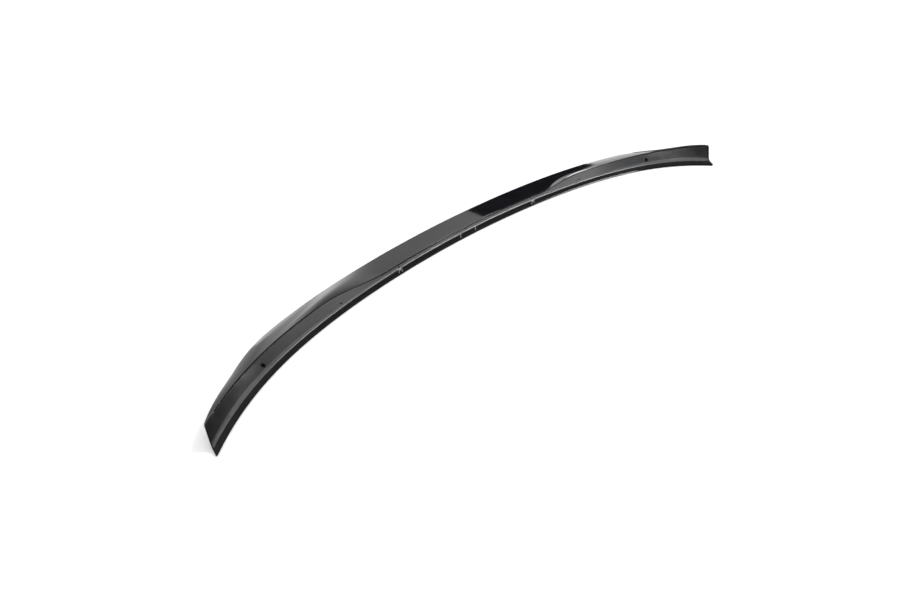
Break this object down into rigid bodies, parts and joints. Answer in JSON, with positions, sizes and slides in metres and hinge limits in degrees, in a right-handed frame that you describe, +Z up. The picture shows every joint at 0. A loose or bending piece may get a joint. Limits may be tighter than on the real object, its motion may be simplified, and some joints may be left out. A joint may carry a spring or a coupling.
{
  "type": "car rear spoiler",
  "caption": "Slim bowed rear spoiler for a boot lid, one moulding with a satin mounting face, gloss tail and stud holes, lying upside down.",
  "frame": {"origin": "centre of the bounding box's base, on the surface that the spoiler lies on", "axes": "+X along the length, +Y from the concave front edge back to the tail edge, +Z up out of the mounting face"},
  "size_m": [1.2, 0.2244, 0.0443],
  "materials": {
    "moulded_plastic": "gloss black on the outer skin and the tail, satin black on the mounting face and the front band"
  },
  "bodies": {
    "root": {"spoiler": "moulded_plastic"}
  },
  "joints": []
}
